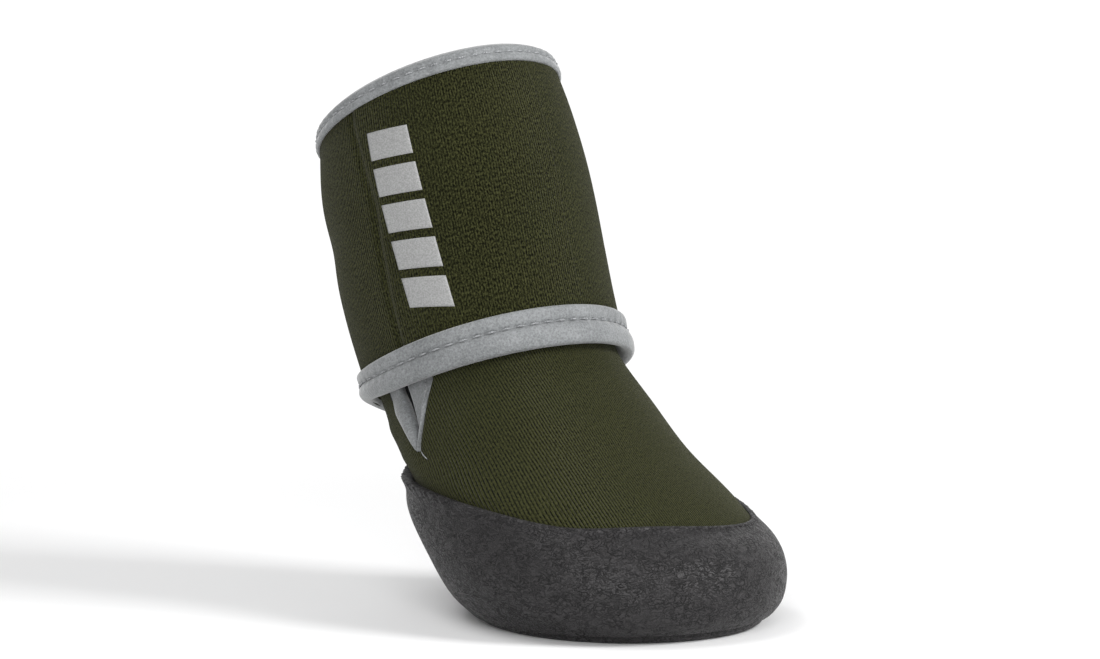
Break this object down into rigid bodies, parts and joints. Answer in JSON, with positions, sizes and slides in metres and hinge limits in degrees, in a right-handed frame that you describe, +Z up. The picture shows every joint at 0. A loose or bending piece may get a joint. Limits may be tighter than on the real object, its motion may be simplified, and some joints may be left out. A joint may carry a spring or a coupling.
{
  "type": "dog boot",
  "caption": "Soft dog boot: a knit upper leaning back over a rounded moulded rubber cup sole, a cuff wrapped round the shaft with a bound hem, a bound collar and a bound side slit",
  "frame": {"origin": "on the ground, under the middle of the tread, at the mount ground_face", "axes": "+X points to the toe, +Y across the boot to the side without the slit, +Z up; the boot stands on the plane z = 0"},
  "size_m": [0.1106, 0.0676, 0.1156],
  "materials": {
    "rubber": "charcoal moulded rubber with a fine wrinkled leather-like surface and a soft satin sheen",
    "felt": "dark grey pressed felt, matt",
    "knit": "olive green knit-faced foam fabric with fine ribs, matt",
    "cuff_knit": "olive green knit-faced foam fabric, its ribs along the shaft, matt",
    "binding": "silver grey reflective binding tape with a stitched line, satin"
  },
  "bodies": {
    "root": {"outsole": "rubber", "insole": "felt", "upper": "knit", "cuff_wrap": "cuff_knit", "hem_binding": "binding", "collar_binding": "binding", "slit_lip_rear": "binding", "slit_lip_front": "binding"}
  },
  "joints": []
}
